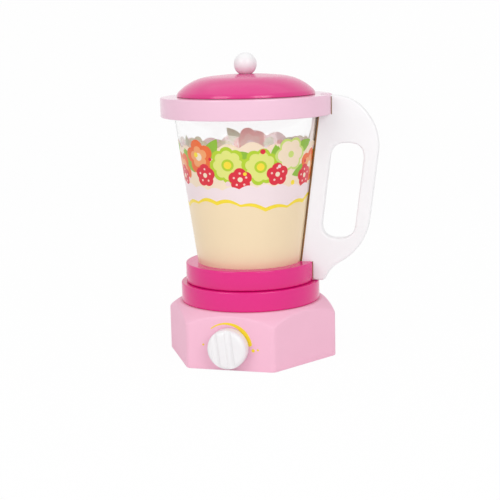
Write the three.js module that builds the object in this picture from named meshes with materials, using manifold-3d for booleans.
// A wooden toy blender: a six-sided base with a click dial, and a jug that lifts off it.
// The jug is a cone of clear printed film between two turned boards, with a painted handle and a lid.
// Millimetres, +Z up. The origin is the centre of the base's underside, on the axis of the boards.
// The dial faces -Y. A corner of the base points along +X, and the handle stands near it.
import * as THREE from "three";
import { mergeVertices, toCreasedNormals } from "three/addons/utils/BufferGeometryUtils.js";
import Module from "manifold-3d";

const wasm = await Module();
wasm.setup();

const DEGREE = Math.PI / 180;
const RIGHT_ANGLE = Math.PI / 2;
const SIXTH_TURN = 60 * DEGREE;
const TWELFTH_TURN = 30 * DEGREE;

// Clearances
const GLUE_LINE = 0.05; // between two faces that are glued together
const FIT_GAP = 0.3; // around a piece that sits in a slot, groove or bore
const SEAT_GAP = 0.2; // under a piece that lifts off its seat
const RUNNING_GAP = 0.5; // around the turning axle
const CUT_OVERRUN = 1; // how far a cut runs past the face that it opens

// Base block and its plate
const BASE_HEIGHT = 51.75;
const BASE_CORNER_R = 81.5; // from the axis to a corner, before the corner is eased
const BASE_CORNER_EASE = 2;
const SHOULDER_LEDGE = 2.2; // level rim of the base's top outside the dock ring
const SHOULDER_BEND = 6.7; // from that rim out to where the slope rounds over
const SHOULDER_ROUND_R = 34;
const SHOULDER_SLOPE = 34 * DEGREE;
const BASE_WALL = 14;
const BASE_ROOF = 12;
const PLATE_THICKNESS = 5;
const PLATE_LEDGE = 7;
const PLATE_SCREW_INSET = 12.5; // from a corner of the base to the screw
const PLATE_SCREW_LENGTH = 16;

// Dock ring, which the jug stands on
const DOCK_R = 64.6;
const DOCK_THICKNESS = 18;
const DOWEL_R = 4;
const DOWEL_INSET = 16.6; // from the dock ring's edge to the dowels
const DOWEL_IN_BASE = 8.7;
const DOWEL_IN_DOCK = 11.2;

// Boards: the turned edges are eased
const BOARD_EASE = 1.2;

// Jug foot and the spigot under it
const FOOT_R = 59.8;
const FOOT_THICKNESS = 18;
const SPIGOT_R = 34;
const SPIGOT_THICKNESS = 8;
const SPIGOT_SIDE_GAP = 0.8;
const SPIGOT_FLOOR_GAP = 0.6;
const SPIGOT_LEAD = 1.5; // chamfer at the mouth of the recess and on the spigot
const SPIGOT_SCREW_CIRCLE_R = 20;
const SPIGOT_SCREW_LENGTH = 19;

// Clear film cone
const FILM_R_AT_FOOT = 48.2; // outside, where it leaves the foot
const FILM_RISE = 134.8; // from the foot's top to the collar's underside
const FILM_THICKNESS = 0.8;
const FOOT_GROOVE_DEPTH = 6;
const COLLAR_GROOVE_DEPTH = 8;
const STRIP_WIDTH = 26;
const STRIP_THICKNESS = 1.6;

// Collar
const COLLAR_R = 78.7;
const COLLAR_WIDTH = 21.7; // from its edge in to its bore
const COLLAR_OVERHANG = 12.5; // from its edge in to the film's outside, on its underside
const COLLAR_THICKNESS = 18;

// Handle. Its outline is set out from its inner edge, which runs along the film.
const JUG_TURN = 6.4 * DEGREE; // the jug stands a little turned on its round seat
const HANDLE_THICKNESS = 12;
const HANDLE_EASE = 2;
const HANDLE_FILM_GAP = 1.2;
const HANDLE_TOP_STEP = 0.8; // its top is this far below the collar's
const HANDLE_SPAN = 58;
const HANDLE_LEG_WIDTH = 14.8;
const HANDLE_GRIP_WIDTH = 12.6;
const HANDLE_TOE_WIDTH = 23.3;
const HANDLE_TOE_ROUND = 2;
const HANDLE_HEEL_WIDTH = 28.8;
const HANDLE_HEEL_HEIGHT = 12.5;
const HANDLE_HEEL_ROUND = 7;
const HANDLE_LOWER_BEND = 32; // above its toe
const HANDLE_LOWER_ROUND = 25.5;
const HANDLE_UPPER_BEND = 32.5; // below its top
const HANDLE_UPPER_ROUND = 20.5;
const HANDLE_BROW_WIDTH = 28.5;
const HANDLE_BROW_ROUND = 19;
const GRIP_HOLE_BOTTOM = 39.2; // above its toe
const GRIP_HOLE_TOP = 43.1; // below its top
const GRIP_HOLE_ROUND_WIDE = 16.5;
const GRIP_HOLE_ROUND_TIGHT = 12.5;
const HANDLE_SCREW_DEPTH = 12;
const LOWER_SCREW_HEIGHT = 18; // above the foot's top
const UPPER_SCREW_DROP = 18.8; // below the collar's underside

// Lid
const LID_OVERLAP = 6.4; // over the collar's top, outside its bore
const LID_SHOULDER_R = 46;
const LID_EDGE_R = 6;
const LID_SHOULDER_TURN = 45 * DEGREE;
const LID_CROWN_R = 300;
const PLUG_THICKNESS = 12;
const PLUG_SIDE_GAP = 0.6;
const LID_SCREW_INSET = 20.4; // from the plug's edge to its screws
const LID_SCREW_LENGTH = 20;
const LID_KNOB_R = 10.5;
const LID_KNOB_FLAT_R = 6;
const LID_DOWEL_R = 3;
const LID_DOWEL_IN_KNOB = 8;
const LID_DOWEL_IN_LID = 9.5;

// Dial and its click work
const DIAL_DROP = 0.775; // from the middle of the hollow down to the dial's axis
const DIAL_FLOOR_GAP = 3.6; // under the dial's edge
const DIAL_THICKNESS = 12;
const DIAL_FRONT_EASE = 3;
const DIAL_BACK_EASE = 0.8;
const DIAL_TURN = 6.5 * DEGREE; // how far the grip leans from upright at rest
const FLUTE_WIDTH = 5.8;
const FLUTE_DEPTH = 2.2;
const FLUTE_SPACING = 11.2;
const AXLE_R = 4;
const AXLE_IN_DIAL = 8;
const WASHER_R = 8;
const WASHER_THICKNESS = 0.8;
const WHEEL_NOTCH = 0.8; // half the depth from a tooth's tip to a notch
const WHEEL_THICKNESS = 7;
const WHEEL_NOTCHES = 8;
const END_WASHER_R = 6;
const END_WASHER_THICKNESS = 1;
const END_SCREW_LENGTH = 14;
const SPRING_ROOM = 5.15; // from the wheel's tips up to the roof of the hollow
const SPRING_THICKNESS = 0.8;
const SPRING_WIDTH = 6;
const SPRING_NOSE_HALF = 4;
const SPRING_NOSE_RISE = 3;
const SPRING_PAD_GAP = 2.7; // from its pad to the corner of the hollow
const SPRING_PAD_LENGTH = 14;
const SPRING_SCREW_SPACING = 7;
const SPRING_SCREW_LENGTH = 9;

// Screws
const SCREW_R = 1.75;
const SCREW_HEAD_R = 3.5;
const SCREW_HEAD_HEIGHT = 2.2;
const SCREW_SINK = 0.3; // how far a countersunk head sits below its face
const SMALL_SCREW_R = 1.2;
const SMALL_SCREW_HEAD_R = 2.5;
const SMALL_SCREW_HEAD_HEIGHT = 1.5;
const PAN_SCREW_R = 1.5;
const PAN_SCREW_HEAD_R = 3.2;
const PAN_SCREW_HEAD_HEIGHT = 2;
const PAN_HEAD_FLAT_SHARE = 0.7; // flat part of a pan head beside its width
const DRIVE_SLOT_WIDTH = 0.9;
const DRIVE_SLOT_DEPTH = 1.1;
const DRIVE_SLOT_SHARE = 0.6; // length of a drive slot beside the head's width

// Facets
const BOARD_FACETS = 60;
const FILM_FACETS = 48;
const PEG_FACETS = 16;
const BALL_FACETS = 24;
const DIAL_FACETS = 40;
const SCREW_FACETS = 12;

// Heights and radii that follow
const shoulderStartR = DOCK_R + SHOULDER_LEDGE;
const shoulderBendR = shoulderStartR + SHOULDER_BEND;
const baseFlatR = BASE_CORNER_R * Math.cos(TWELFTH_TURN);
const dockTop = BASE_HEIGHT + GLUE_LINE + DOCK_THICKNESS;
const collarBottom = FOOT_THICKNESS + FILM_RISE; // heights in the jug are above the foot's underside
const collarTop = collarBottom + COLLAR_THICKNESS;
const collarBoreR = COLLAR_R - COLLAR_WIDTH;
const filmSlope = (COLLAR_R - COLLAR_OVERHANG - FILM_R_AT_FOOT) / FILM_RISE;
const filmLean = Math.atan(filmSlope);
const handleTop = collarTop - HANDLE_TOP_STEP;
const gripHoleTop = handleTop - GRIP_HOLE_TOP;
const upperBend = handleTop - HANDLE_UPPER_BEND;
const handleScrewHeights = [FOOT_THICKNESS + LOWER_SCREW_HEIGHT, collarBottom - UPPER_SCREW_DROP];
const slotWidth = HANDLE_THICKNESS + 2 * FIT_GAP;
const plugR = collarBoreR - PLUG_SIDE_GAP;
const lidR = collarBoreR + LID_OVERLAP;
const recessR = SPIGOT_R + SPIGOT_SIDE_GAP;
const wallInside = baseFlatR - BASE_WALL;
const roofUnderside = BASE_HEIGHT - BASE_ROOF;
const dialHeight = (PLATE_THICKNESS + roofUnderside) / 2 - DIAL_DROP;
const dialR = dialHeight - DIAL_FLOOR_GAP;
const wheelMeanR = roofUnderside - SPRING_ROOM - dialHeight - WHEEL_NOTCH;
const dialBack = baseFlatR + WASHER_THICKNESS + 2 * GLUE_LINE;
const springPadEnd = wallInside * Math.tan(TWELFTH_TURN) - SPRING_PAD_GAP;
const springPadStart = springPadEnd - SPRING_PAD_LENGTH;
const wheelFront = wallInside - RUNNING_GAP;
const wheelBack = wheelFront - WHEEL_THICKNESS;

// Outside radius of the film at a height above the jug foot's underside
function filmR(height) {
  return FILM_R_AT_FOOT + filmSlope * (height - FOOT_THICKNESS);
}

// Where the handle's inner edge, or a line beside it, lies at a height
function handleX(offset, height) {
  return filmR(height) + HANDLE_FILM_GAP + offset;
}

// A closed geometry as a solid that can be joined and cut
function solid(geometry) {
  const bare = geometry.clone();
  bare.deleteAttribute("normal");
  bare.deleteAttribute("uv");
  const merged = mergeVertices(bare);
  const corners = merged.index.array;
  const kept = [];
  for (let i = 0; i < corners.length; i += 3) {
    const [a, b, c] = corners.slice(i, i + 3);
    if (a !== b && b !== c && c !== a) kept.push(a, b, c);
  }
  return new wasm.Manifold(new wasm.Mesh({
    numProp: 3,
    vertProperties: merged.attributes.position.array,
    triVerts: new Uint32Array(kept),
  }));
}

// A solid as a named mesh
function piece(name, body, material) {
  const { vertProperties, triVerts } = body.getMesh();
  const geometry = new THREE.BufferGeometry();
  geometry.setAttribute("position", new THREE.BufferAttribute(vertProperties, 3));
  geometry.setIndex(new THREE.BufferAttribute(triVerts, 1));
  const mesh = new THREE.Mesh(toCreasedNormals(geometry, 40 * DEGREE), material);
  mesh.name = name;
  return mesh;
}

// Points along an arc in the plane of radius and height
function arc(centreR, centreZ, radius, from, to, steps) {
  return Array.from({ length: steps + 1 }, (_, i) => {
    const angle = from + (to - from) * (i / steps);
    return [centreR + radius * Math.cos(angle), centreZ + radius * Math.sin(angle)];
  });
}

// A turned solid from its profile, which runs anticlockwise in the plane of radius and height
function turned(profile, facets = BOARD_FACETS) {
  const points = profile.map(([r, z]) => new THREE.Vector2(Math.max(r, 0), z));
  if (profile[0][0] > 0) points.push(points[0].clone());
  return solid(new THREE.LatheGeometry(points, facets).rotateX(RIGHT_ANGLE));
}

// A round peg, or the cut for one, between two points
function peg(radius, from, to, facets = PEG_FACETS) {
  const way = to.clone().sub(from);
  const upright = new THREE.Vector3(0, 1, 0);
  const turn = new THREE.Quaternion().setFromUnitVectors(upright, way.clone().normalize());
  const geometry = new THREE.CylinderGeometry(radius, radius, way.length(), facets);
  geometry.applyQuaternion(turn);
  const middle = from.clone().add(to).multiplyScalar(0.5);
  return solid(geometry.translate(middle.x, middle.y, middle.z));
}

function uprightPeg(radius, x, y, bottom, top, facets) {
  return peg(radius, new THREE.Vector3(x, y, bottom), new THREE.Vector3(x, y, top), facets);
}

// A peg along the dial's axis, from one distance in front of the base's axis to another
function dialPeg(radius, near, far, facets) {
  const at = (distance) => new THREE.Vector3(0, -distance, 0);
  return peg(radius, at(near), at(far), facets);
}

// A shape pushed up from one height to another
function upward(shape, bottom, top, curveSegments = 3) {
  const settings = { depth: top - bottom, bevelEnabled: false, curveSegments };
  return solid(new THREE.ExtrudeGeometry(shape, settings).translate(0, 0, bottom));
}

// A shape drawn in X and Z, given a thickness about the plane y = 0 and eased edges
function upright(shape, thickness, ease, curveSegments = 8) {
  const settings = {
    depth: thickness - 2 * ease,
    bevelEnabled: ease > 0,
    bevelThickness: ease,
    bevelSize: ease,
    bevelOffset: -ease,
    bevelSegments: 2,
    curveSegments,
  };
  const geometry = new THREE.ExtrudeGeometry(shape, settings).rotateX(RIGHT_ANGLE);
  return solid(geometry.translate(0, thickness / 2 - ease, 0));
}

function block(sizeX, sizeY, sizeZ, x, y, z) {
  return solid(new THREE.BoxGeometry(sizeX, sizeY, sizeZ).translate(x, y, z));
}

// A regular hexagon with eased corners, one of them on the X axis
function hexagon(cornerR, ease) {
  const shape = new THREE.Shape();
  const centreR = cornerR - ease / Math.cos(TWELFTH_TURN);
  for (let i = 0; i < 6; i += 1) {
    const angle = i * SIXTH_TURN;
    shape.absarc(centreR * Math.cos(angle), centreR * Math.sin(angle), ease,
      angle - TWELFTH_TURN, angle + TWELFTH_TURN, false);
  }
  shape.closePath();
  return shape;
}

// An outline through corners that are each [x, y, reach]: a curve replaces the corner over its reach
function rounded(corners, path) {
  const points = corners.map(([x, y]) => new THREE.Vector2(x, y));
  corners.forEach(([x, y, reach = 0], i) => {
    const before = points[(i + points.length - 1) % points.length];
    const after = points[(i + 1) % points.length];
    const start = points[i].clone().add(before.clone().sub(points[i]).setLength(reach));
    const end = points[i].clone().add(after.clone().sub(points[i]).setLength(reach));
    if (i === 0) path.moveTo(start.x, start.y);
    else path.lineTo(start.x, start.y);
    if (reach > 0) path.quadraticCurveTo(x, y, end.x, end.y);
  });
  path.closePath();
  return path;
}

// A board turned to a disc, or to a ring where it has a bore, with eased edges
function board(radius, thickness, bore = 0) {
  const rim = [
    ...arc(radius - BOARD_EASE, BOARD_EASE, BOARD_EASE, -RIGHT_ANGLE, 0, 2),
    ...arc(radius - BOARD_EASE, thickness - BOARD_EASE, BOARD_EASE, 0, RIGHT_ANGLE, 2),
  ];
  if (!bore) return turned([[0, 0], ...rim, [0, thickness]]);
  const mouth = [
    ...arc(bore + BOARD_EASE, thickness - BOARD_EASE, BOARD_EASE, RIGHT_ANGLE, 2 * RIGHT_ANGLE, 2),
    ...arc(bore + BOARD_EASE, BOARD_EASE, BOARD_EASE, 2 * RIGHT_ANGLE, 3 * RIGHT_ANGLE, 2),
  ];
  return turned([...rim, ...mouth]);
}

// A screw along +Z from its head's face at z = 0, with a cross recess
function countersunkScrew(length) {
  const body = turned([
    [0, 0],
    [SCREW_HEAD_R, 0],
    [SCREW_R, SCREW_HEAD_HEIGHT],
    [SCREW_R, length - SCREW_R],
    [0, length],
  ], SCREW_FACETS);
  return crossRecess(body, SCREW_HEAD_R, 0);
}

// A screw along +Z from under its rounded head, which lies below z = 0
function panScrew(shankR, headR, headHeight, length) {
  const body = turned([
    [0, -headHeight],
    [headR * PAN_HEAD_FLAT_SHARE, -headHeight],
    [headR, -headHeight / 2],
    [headR, 0],
    [shankR, 0],
    [shankR, length - shankR],
    [0, length],
  ], SCREW_FACETS);
  return crossRecess(body, headR, -headHeight);
}

function crossRecess(body, headR, face) {
  const long = 2 * headR * DRIVE_SLOT_SHARE;
  const deep = 2 * DRIVE_SLOT_DEPTH;
  return body
    .subtract(block(long, DRIVE_SLOT_WIDTH, deep, 0, 0, face))
    .subtract(block(DRIVE_SLOT_WIDTH, long, deep, 0, 0, face));
}

// The hole for a countersunk screw that is driven up through a face at z = 0
function countersink(x, y, depth) {
  const gap = FIT_GAP;
  const bodyR = SCREW_R + gap;
  const mouthR = SCREW_HEAD_R + gap;
  const neck = SCREW_SINK + SCREW_HEAD_HEIGHT;
  const cut = turned([
    [0, -CUT_OVERRUN],
    [mouthR, -CUT_OVERRUN],
    [mouthR, SCREW_SINK],
    [bodyR, neck + gap],
    [bodyR, depth],
    [0, depth],
  ], SCREW_FACETS);
  return cut.translate([x, y, 0]);
}

// Places on a circle, as [x, y]
function onCircle(radius, count, start) {
  return Array.from({ length: count }, (_, i) => {
    const angle = start + (i * 360 * DEGREE) / count;
    return [radius * Math.cos(angle), radius * Math.sin(angle)];
  });
}

const plateScrewPlaces = onCircle(BASE_CORNER_R - PLATE_SCREW_INSET, 3, SIXTH_TURN);
const dowelPlaces = onCircle(DOCK_R - DOWEL_INSET, 3, TWELFTH_TURN);
const spigotScrewPlaces = onCircle(SPIGOT_SCREW_CIRCLE_R, 3, TWELFTH_TURN);
const lidScrewPlaces = onCircle(plugR - LID_SCREW_INSET, 3, RIGHT_ANGLE);
const springScrewPlaces = [-1, 1].map((side) => [
  (springPadStart + springPadEnd + side * SPRING_SCREW_SPACING) / 2,
  -(wheelFront + wheelBack) / 2,
]);

// Base

function baseBlock() {
  const bendZ = BASE_HEIGHT - SHOULDER_BEND * Math.tan(SHOULDER_SLOPE);
  const roundR = shoulderBendR - SHOULDER_ROUND_R * Math.sin(SHOULDER_SLOPE);
  const roundZ = bendZ - SHOULDER_ROUND_R * Math.cos(SHOULDER_SLOPE);
  const shoulder = arc(roundR, roundZ, SHOULDER_ROUND_R, 0, RIGHT_ANGLE - SHOULDER_SLOPE, 6);
  const blank = turned([
    [0, -CUT_OVERRUN],
    [shoulder[0][0], -CUT_OVERRUN],
    ...shoulder,
    [shoulderStartR, BASE_HEIGHT],
    [0, BASE_HEIGHT],
  ], BOARD_FACETS);
  const sides = upward(hexagon(BASE_CORNER_R, BASE_CORNER_EASE), 0, BASE_HEIGHT + CUT_OVERRUN);
  const atFlat = (flat) => hexagon(flat / Math.cos(TWELFTH_TURN), BASE_CORNER_EASE);
  let body = blank.intersect(sides)
    .subtract(upward(atFlat(wallInside), -CUT_OVERRUN, roofUnderside))
    .subtract(upward(atFlat(wallInside + PLATE_LEDGE), -CUT_OVERRUN, PLATE_THICKNESS));
  const axleBore = dialPeg(AXLE_R + RUNNING_GAP, wallInside - CUT_OVERRUN, baseFlatR + CUT_OVERRUN);
  body = body.subtract(axleBore.translate([0, 0, dialHeight]));
  for (const [x, y] of plateScrewPlaces) {
    const top = SCREW_SINK + PLATE_SCREW_LENGTH + FIT_GAP;
    body = body.subtract(uprightPeg(SCREW_R + FIT_GAP, x, y, 0, top, SCREW_FACETS));
  }
  for (const [x, y] of dowelPlaces) {
    const bottom = BASE_HEIGHT - DOWEL_IN_BASE - FIT_GAP;
    body = body.subtract(uprightPeg(DOWEL_R + FIT_GAP, x, y, bottom, BASE_HEIGHT + CUT_OVERRUN));
  }
  for (const [x, y] of springScrewPlaces) {
    const top = roofUnderside + SPRING_SCREW_LENGTH;
    const bottom = roofUnderside - CUT_OVERRUN;
    body = body.subtract(uprightPeg(SMALL_SCREW_R + FIT_GAP, x, y, bottom, top, SCREW_FACETS));
  }
  return body;
}

function basePlate() {
  const flat = wallInside + PLATE_LEDGE - FIT_GAP;
  const outline = hexagon(flat / Math.cos(TWELFTH_TURN), BASE_CORNER_EASE);
  let body = upward(outline, 0, PLATE_THICKNESS - GLUE_LINE);
  for (const [x, y] of plateScrewPlaces) {
    body = body.subtract(countersink(x, y, PLATE_THICKNESS + CUT_OVERRUN));
  }
  return body;
}

function dockRing() {
  const floor = DOCK_THICKNESS - SPIGOT_THICKNESS - SPIGOT_FLOOR_GAP;
  const recess = turned([
    [0, floor],
    [recessR, floor],
    [recessR, DOCK_THICKNESS - SPIGOT_LEAD],
    [recessR + SPIGOT_LEAD, DOCK_THICKNESS],
    [recessR + SPIGOT_LEAD, DOCK_THICKNESS + CUT_OVERRUN],
    [0, DOCK_THICKNESS + CUT_OVERRUN],
  ]);
  let body = board(DOCK_R, DOCK_THICKNESS).subtract(recess);
  for (const [x, y] of dowelPlaces) {
    body = body.subtract(uprightPeg(DOWEL_R + FIT_GAP, x, y, -CUT_OVERRUN, DOWEL_IN_DOCK + FIT_GAP));
  }
  return body;
}

// Dial, drawn with its axis along Y through the origin

function dialKnob() {
  const front = DIAL_THICKNESS;
  const profile = [
    [0, 0],
    ...arc(dialR - DIAL_BACK_EASE, DIAL_BACK_EASE, DIAL_BACK_EASE, -RIGHT_ANGLE, 0, 2),
    ...arc(dialR - DIAL_FRONT_EASE, front - DIAL_FRONT_EASE, DIAL_FRONT_EASE, 0, RIGHT_ANGLE, 4),
    [0, front],
  ];
  const half = FLUTE_WIDTH / 2;
  const fluteR = (half * half + FLUTE_DEPTH * FLUTE_DEPTH) / (2 * FLUTE_DEPTH);
  const fluteZ = front + fluteR - FLUTE_DEPTH;
  let body = turned(profile, DIAL_FACETS);
  for (const side of [-1, 1]) {
    const x = (side * FLUTE_SPACING) / 2;
    const from = new THREE.Vector3(x, -dialR - CUT_OVERRUN, fluteZ);
    const to = new THREE.Vector3(x, dialR + CUT_OVERRUN, fluteZ);
    body = body.subtract(peg(fluteR, from, to, 24));
  }
  const bore = uprightPeg(AXLE_R + FIT_GAP, 0, 0, -CUT_OVERRUN, AXLE_IN_DIAL + FIT_GAP);
  return body.subtract(bore).rotate([90, 0, 0]);
}

function dialAxle() {
  const outer = dialBack + AXLE_IN_DIAL;
  const inner = wheelBack + FIT_GAP;
  const screwEnd = wheelBack + END_SCREW_LENGTH + FIT_GAP;
  const pilot = dialPeg(SMALL_SCREW_R + FIT_GAP, inner - CUT_OVERRUN, screwEnd, SCREW_FACETS);
  return dialPeg(AXLE_R, inner, outer).subtract(pilot);
}

function flatRing(outerR, innerR, near, far, facets) {
  const hole = dialPeg(innerR, near - CUT_OVERRUN, far + CUT_OVERRUN, facets);
  return dialPeg(outerR, near, far, facets).subtract(hole);
}

function clickWheel() {
  const outline = new THREE.Shape();
  const count = WHEEL_NOTCHES * 8;
  for (let i = 0; i < count; i += 1) {
    const angle = (i * 360 * DEGREE) / count;
    const r = wheelMeanR - WHEEL_NOTCH * Math.cos(WHEEL_NOTCHES * (angle - RIGHT_ANGLE));
    if (i === 0) outline.moveTo(r * Math.cos(angle), r * Math.sin(angle));
    else outline.lineTo(r * Math.cos(angle), r * Math.sin(angle));
  }
  outline.closePath();
  const bore = dialPeg(AXLE_R + FIT_GAP, wheelBack - CUT_OVERRUN, wheelFront + CUT_OVERRUN);
  const wheel = upright(outline, WHEEL_THICKNESS, 0);
  return wheel.translate([0, -(wheelFront + wheelBack) / 2, 0]).subtract(bore);
}

// A bent strip of even thickness along a line of points in X and Z
function bentStrip(line, thickness) {
  const points = line.map(([x, z]) => new THREE.Vector2(x, z));
  const stretch = (i) => points[i].clone().sub(points[i - 1]).normalize();
  const edge = (side) => points.map((point, i) => {
    const arriving = stretch(Math.max(i, 1));
    const leaving = stretch(Math.min(i + 1, points.length - 1));
    const way = arriving.clone().add(leaving).normalize();
    const across = new THREE.Vector2(-way.y, way.x);
    return point.clone().addScaledVector(across, (side * thickness) / 2 / arriving.dot(way));
  });
  return new THREE.Shape([...edge(-1), ...edge(1).reverse()]);
}

function clickSpring() {
  const nose = dialHeight + wheelMeanR - WHEEL_NOTCH + FIT_GAP + SPRING_THICKNESS / 2;
  const knee = nose + SPRING_NOSE_RISE;
  const pad = roofUnderside - GLUE_LINE - SPRING_THICKNESS / 2;
  const line = [
    [-2 * SPRING_NOSE_HALF, knee],
    [-SPRING_NOSE_HALF, knee],
    [0, nose],
    [SPRING_NOSE_HALF, knee],
    [springPadStart, pad],
    [springPadEnd, pad],
  ];
  const shape = bentStrip(line, SPRING_THICKNESS);
  let body = upright(shape, SPRING_WIDTH, 0).translate([0, -(wheelFront + wheelBack) / 2, 0]);
  for (const [x, y] of springScrewPlaces) {
    const bottom = pad - SPRING_THICKNESS - CUT_OVERRUN;
    const top = roofUnderside + CUT_OVERRUN;
    body = body.subtract(uprightPeg(SMALL_SCREW_R + FIT_GAP, x, y, bottom, top, SCREW_FACETS));
  }
  return body;
}

// Jug, with heights above the foot's underside

// A skin that follows the film's cone, from one offset outside its outer face to another
function filmSkin(inside, outside, bottom, top) {
  return turned([
    [filmR(bottom) + inside, bottom],
    [filmR(bottom) + outside, bottom],
    [filmR(top) + outside, top],
    [filmR(top) + inside, top],
  ], FILM_FACETS);
}

// The slot in the foot or the collar that takes the handle
function handleSlot(bottom, top, outerR) {
  const outline = new THREE.Shape();
  outline.moveTo(handleX(-FIT_GAP, bottom), bottom);
  outline.lineTo(outerR + CUT_OVERRUN, bottom);
  outline.lineTo(outerR + CUT_OVERRUN, top);
  outline.lineTo(handleX(-FIT_GAP, top), top);
  outline.closePath();
  return upright(outline, slotWidth, 0);
}

function jugFoot() {
  const groove = filmSkin(-FILM_THICKNESS - FIT_GAP, FIT_GAP,
    FOOT_THICKNESS - FOOT_GROOVE_DEPTH, FOOT_THICKNESS + CUT_OVERRUN);
  let body = board(FOOT_R, FOOT_THICKNESS)
    .subtract(groove)
    .subtract(handleSlot(-CUT_OVERRUN, FOOT_THICKNESS + CUT_OVERRUN, FOOT_R));
  const top = SPIGOT_SCREW_LENGTH - SPIGOT_THICKNESS + SCREW_SINK + FIT_GAP;
  for (const [x, y] of spigotScrewPlaces) {
    body = body.subtract(uprightPeg(SCREW_R + FIT_GAP, x, y, -CUT_OVERRUN, top, SCREW_FACETS));
  }
  return body;
}

function jugSpigot() {
  let body = turned([
    [0, 0],
    [SPIGOT_R - SPIGOT_LEAD, 0],
    [SPIGOT_R, SPIGOT_LEAD],
    [SPIGOT_R, SPIGOT_THICKNESS],
    [0, SPIGOT_THICKNESS],
  ]);
  for (const [x, y] of spigotScrewPlaces) {
    body = body.subtract(countersink(x, y, SPIGOT_THICKNESS + CUT_OVERRUN));
  }
  return body;
}

// The line of a handle screw: from the strip's inner face outward, square to the film
function handleScrewLine(height) {
  const outward = new THREE.Vector3(Math.cos(filmLean), 0, -Math.sin(filmLean));
  const depth = (FILM_THICKNESS + FIT_GAP + STRIP_THICKNESS) / Math.cos(filmLean);
  const start = new THREE.Vector3(filmR(height), 0, height).addScaledVector(outward, -depth);
  return { start, outward };
}

const handleScrewLength = STRIP_THICKNESS + FILM_THICKNESS + HANDLE_FILM_GAP + HANDLE_SCREW_DEPTH;

function handleScrewCut(height) {
  const { start, outward } = handleScrewLine(height);
  const from = start.clone().addScaledVector(outward, -CUT_OVERRUN);
  const to = start.clone().addScaledVector(outward, handleScrewLength + CUT_OVERRUN);
  return peg(PAN_SCREW_R + FIT_GAP, from, to, SCREW_FACETS);
}

function withScrewCuts(body) {
  return handleScrewHeights.reduce((left, height) => left.subtract(handleScrewCut(height)), body);
}

function jugSleeve() {
  const bottom = FOOT_THICKNESS - FOOT_GROOVE_DEPTH + FIT_GAP;
  const top = collarBottom + COLLAR_GROOVE_DEPTH - FIT_GAP;
  return withScrewCuts(filmSkin(-FILM_THICKNESS, 0, bottom, top));
}

function seamStrip() {
  const outside = -FILM_THICKNESS - FIT_GAP;
  const bottom = FOOT_THICKNESS + FIT_GAP;
  const top = collarBottom - FIT_GAP;
  const band = filmSkin(outside - STRIP_THICKNESS, outside, bottom, top);
  const middle = (bottom + top) / 2;
  const behindHandle = block(COLLAR_R, STRIP_WIDTH, 2 * FILM_RISE, COLLAR_R / 2, 0, middle);
  return withScrewCuts(band.intersect(behindHandle));
}

function collar() {
  const groove = filmSkin(-FILM_THICKNESS - FIT_GAP, FIT_GAP,
    collarBottom - CUT_OVERRUN, collarBottom + COLLAR_GROOVE_DEPTH);
  return board(COLLAR_R, COLLAR_THICKNESS, collarBoreR)
    .translate([0, 0, collarBottom])
    .subtract(groove)
    .subtract(handleSlot(collarBottom - CUT_OVERRUN, collarTop + CUT_OVERRUN, COLLAR_R));
}

function handle() {
  const corner = (offset, height, reach) => [handleX(offset, height), height, reach];
  const gripInner = HANDLE_SPAN - HANDLE_GRIP_WIDTH;
  const outline = rounded([
    corner(0, 0, 0),
    corner(HANDLE_TOE_WIDTH, 0, HANDLE_TOE_ROUND),
    corner(HANDLE_HEEL_WIDTH, HANDLE_HEEL_HEIGHT, HANDLE_HEEL_ROUND),
    corner(HANDLE_SPAN, HANDLE_LOWER_BEND, HANDLE_LOWER_ROUND),
    corner(HANDLE_SPAN, upperBend, HANDLE_UPPER_ROUND),
    corner(HANDLE_BROW_WIDTH, handleTop, HANDLE_BROW_ROUND),
    corner(0, handleTop, 0),
  ], new THREE.Shape());
  outline.holes.push(rounded([
    corner(HANDLE_LEG_WIDTH, GRIP_HOLE_BOTTOM, GRIP_HOLE_ROUND_WIDE),
    corner(HANDLE_LEG_WIDTH, gripHoleTop, GRIP_HOLE_ROUND_TIGHT),
    corner(gripInner, gripHoleTop, GRIP_HOLE_ROUND_WIDE),
    corner(gripInner, GRIP_HOLE_BOTTOM, GRIP_HOLE_ROUND_TIGHT),
  ], new THREE.Path()));
  return withScrewCuts(upright(outline, HANDLE_THICKNESS, HANDLE_EASE));
}

// Lid, with heights above its underside

// Three arcs that run into each other: the edge, the shoulder and the wide crown
function lidOutline() {
  const edgeEnd = RIGHT_ANGLE - LID_SHOULDER_TURN;
  const shoulderR = lidR - LID_EDGE_R + (LID_EDGE_R - LID_SHOULDER_R) * Math.cos(edgeEnd);
  const shoulderZ = (LID_EDGE_R - LID_SHOULDER_R) * Math.sin(edgeEnd);
  const crownStart = Math.acos(shoulderR / (LID_CROWN_R - LID_SHOULDER_R));
  const crownZ = shoulderZ - (LID_CROWN_R - LID_SHOULDER_R) * Math.sin(crownStart);
  const crownEnd = Math.acos((LID_KNOB_FLAT_R + CUT_OVERRUN) / LID_CROWN_R);
  return [
    ...arc(lidR - LID_EDGE_R, 0, LID_EDGE_R, 0, edgeEnd, 3),
    ...arc(shoulderR, shoulderZ, LID_SHOULDER_R, edgeEnd, crownStart, 6).slice(1),
    ...arc(0, crownZ, LID_CROWN_R, crownStart, crownEnd, 2).slice(1),
  ];
}

const lidTop = lidOutline().pop()[1];

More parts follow.
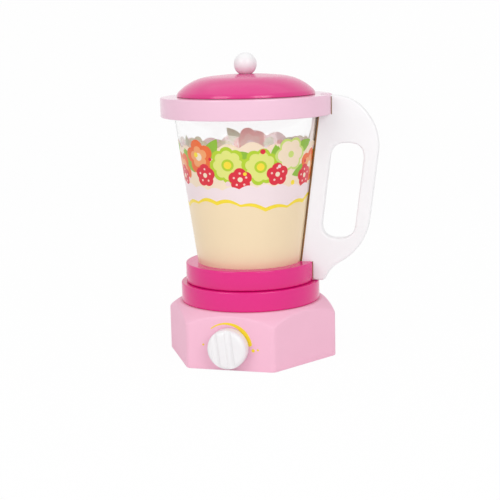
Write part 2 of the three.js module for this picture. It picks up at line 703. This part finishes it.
function lidDome() {
  const profile = [[0, 0], ...lidOutline(), [0, lidTop]];
  const socket = uprightPeg(LID_DOWEL_R + FIT_GAP, 0, 0,
    lidTop - LID_DOWEL_IN_LID - FIT_GAP, lidTop + CUT_OVERRUN);
  let body = turned(profile).subtract(socket);
  const top = LID_SCREW_LENGTH - PLUG_THICKNESS + SCREW_SINK + FIT_GAP;
  for (const [x, y] of lidScrewPlaces) {
    body = body.subtract(uprightPeg(SCREW_R + FIT_GAP, x, y, -CUT_OVERRUN, top, SCREW_FACETS));
  }
  return body;
}

function lidPlug() {
  let body = board(plugR, PLUG_THICKNESS);
  for (const [x, y] of lidScrewPlaces) {
    body = body.subtract(countersink(x, y, PLUG_THICKNESS + CUT_OVERRUN));
  }
  return body;
}

// A ball with a flat on which it stands, z = 0
function lidKnob() {
  const flatAngle = Math.acos(LID_KNOB_FLAT_R / LID_KNOB_R);
  const centre = LID_KNOB_R * Math.sin(flatAngle);
  const ball = arc(0, centre, LID_KNOB_R, -flatAngle, RIGHT_ANGLE, 11);
  const socket = uprightPeg(LID_DOWEL_R + FIT_GAP, 0, 0, -CUT_OVERRUN, LID_DOWEL_IN_KNOB + FIT_GAP);
  return turned([[0, 0], ...ball], BALL_FACETS).subtract(socket);
}

// Finishes

const painted = (colour) => new THREE.MeshStandardMaterial({ color: colour, roughness: 0.35 });
const pinkPaint = painted("#f4bfd6");
const magentaPaint = painted("#e0308a");
const lidPaint = painted("#e8488f");
const whitePaint = painted("#f3f3f1");
const bareWood = new THREE.MeshStandardMaterial({ color: "#dcb98a", roughness: 0.7 });
const plywood = new THREE.MeshStandardMaterial({ color: "#cfa878", roughness: 0.75 });
const zincSteel = new THREE.MeshStandardMaterial({ color: "#b9bcc0", roughness: 0.35, metalness: 1 });
const springSteel = new THREE.MeshStandardMaterial({ color: "#8d9298", roughness: 0.3, metalness: 1 });
const felt = new THREE.MeshStandardMaterial({ color: "#e9e4da", roughness: 0.95 });
const clearFilm = new THREE.MeshStandardMaterial({
  color: "#f5ead2",
  roughness: 0.12,
  transparent: true,
  opacity: 0.45,
});
const stripPlastic = new THREE.MeshStandardMaterial({ color: "#e6dccf", roughness: 0.45 });

// Assembly

const blender = new THREE.Group();

function place(parent, mesh, x, y, z) {
  mesh.position.set(x, y, z);
  parent.add(mesh);
  return mesh;
}

function placeBase() {
  place(blender, piece("base_block", baseBlock(), pinkPaint), 0, 0, 0);
  place(blender, piece("base_plate", basePlate(), plywood), 0, 0, 0);
  plateScrewPlaces.forEach(([x, y], i) => {
    const screw = piece(`base_plate_screw_${i + 1}`, countersunkScrew(PLATE_SCREW_LENGTH), zincSteel);
    place(blender, screw, x, y, SCREW_SINK);
  });
  place(blender, piece("dock_ring", dockRing(), magentaPaint), 0, 0, BASE_HEIGHT + GLUE_LINE);
  dowelPlaces.forEach(([x, y], i) => {
    const dowel = uprightPeg(DOWEL_R, 0, 0, -DOWEL_IN_BASE, DOWEL_IN_DOCK);
    place(blender, piece(`dock_dowel_${i + 1}`, dowel, bareWood), x, y, BASE_HEIGHT);
  });
}

function placeClickSpring() {
  place(blender, piece("click_spring", clickSpring(), springSteel), 0, 0, 0);
  springScrewPlaces.forEach(([x, y], i) => {
    const screw = panScrew(SMALL_SCREW_R, SMALL_SCREW_HEAD_R, SMALL_SCREW_HEAD_HEIGHT,
      SPRING_SCREW_LENGTH);
    const under = roofUnderside - 2 * GLUE_LINE - SPRING_THICKNESS;
    place(blender, piece(`click_spring_screw_${i + 1}`, screw, zincSteel), x, y, under);
  });
}

function placeDial() {
  const dial = new THREE.Group();
  dial.position.z = dialHeight;
  blender.add(dial);
  const washer = flatRing(WASHER_R, AXLE_R + RUNNING_GAP, baseFlatR + GLUE_LINE,
    baseFlatR + GLUE_LINE + WASHER_THICKNESS, 32);
  place(dial, piece("dial_washer", washer, felt), 0, 0, 0);
  const knob = place(dial, piece("dial_knob", dialKnob(), whitePaint), 0, -dialBack, 0);
  knob.rotation.y = -DIAL_TURN;
  place(dial, piece("dial_axle", dialAxle(), bareWood), 0, 0, 0);
  place(dial, piece("click_wheel", clickWheel(), bareWood), 0, 0, 0);
  const washerFace = wheelBack - GLUE_LINE;
  const endWasher = flatRing(END_WASHER_R, SMALL_SCREW_R + FIT_GAP,
    washerFace - END_WASHER_THICKNESS, washerFace, PEG_FACETS);
  place(dial, piece("click_wheel_washer", endWasher, zincSteel), 0, 0, 0);
  const screw = panScrew(SMALL_SCREW_R, SMALL_SCREW_HEAD_R, SMALL_SCREW_HEAD_HEIGHT,
    END_SCREW_LENGTH);
  const endScrew = piece("click_wheel_screw", screw, zincSteel);
  endScrew.rotation.x = RIGHT_ANGLE;
  place(dial, endScrew, 0, -(washerFace - END_WASHER_THICKNESS - GLUE_LINE), 0);
}

function placeJug() {
  const jug = new THREE.Group();
  jug.position.z = dockTop + SEAT_GAP;
  jug.rotation.z = JUG_TURN;
  blender.add(jug);
  place(jug, piece("jug_foot", jugFoot(), magentaPaint), 0, 0, 0);
  place(jug, piece("jug_spigot", jugSpigot(), plywood), 0, 0, -SPIGOT_THICKNESS - GLUE_LINE);
  spigotScrewPlaces.forEach(([x, y], i) => {
    const screw = countersunkScrew(SPIGOT_SCREW_LENGTH);
    const bottom = SCREW_SINK - SPIGOT_THICKNESS - GLUE_LINE;
    place(jug, piece(`jug_spigot_screw_${i + 1}`, screw, zincSteel), x, y, bottom);
  });
  place(jug, piece("jug_sleeve", jugSleeve(), clearFilm), 0, 0, 0);
  place(jug, piece("seam_strip", seamStrip(), stripPlastic), 0, 0, 0);
  place(jug, piece("collar", collar(), pinkPaint), 0, 0, 0);
  place(jug, piece("handle", handle(), whitePaint), 0, 0, 0);
  handleScrewHeights.forEach((height, i) => {
    const body = panScrew(PAN_SCREW_R, PAN_SCREW_HEAD_R, PAN_SCREW_HEAD_HEIGHT, handleScrewLength);
    const screw = piece(`handle_screw_${i + 1}`, body, zincSteel);
    const { start, outward } = handleScrewLine(height);
    start.addScaledVector(outward, -FIT_GAP);
    screw.rotation.y = RIGHT_ANGLE + filmLean;
    place(jug, screw, start.x, start.y, start.z);
  });
  return jug;
}

function placeLid(jug) {
  const lid = new THREE.Group();
  lid.position.z = collarTop + SEAT_GAP;
  jug.add(lid);
  place(lid, piece("lid_dome", lidDome(), lidPaint), 0, 0, 0);
  place(lid, piece("lid_plug", lidPlug(), lidPaint), 0, 0, -PLUG_THICKNESS - GLUE_LINE);
  lidScrewPlaces.forEach(([x, y], i) => {
    const bottom = SCREW_SINK - PLUG_THICKNESS - GLUE_LINE;
    place(lid, piece(`lid_screw_${i + 1}`, countersunkScrew(LID_SCREW_LENGTH), zincSteel), x, y, bottom);
  });
  place(lid, piece("lid_knob", lidKnob(), whitePaint), 0, 0, lidTop + GLUE_LINE);
  const dowel = uprightPeg(LID_DOWEL_R, 0, 0, -LID_DOWEL_IN_LID, LID_DOWEL_IN_KNOB);
  place(lid, piece("lid_knob_dowel", dowel, bareWood), 0, 0, lidTop);
}

placeBase();
placeClickSpring();
placeDial();
placeLid(placeJug());

export default blender;
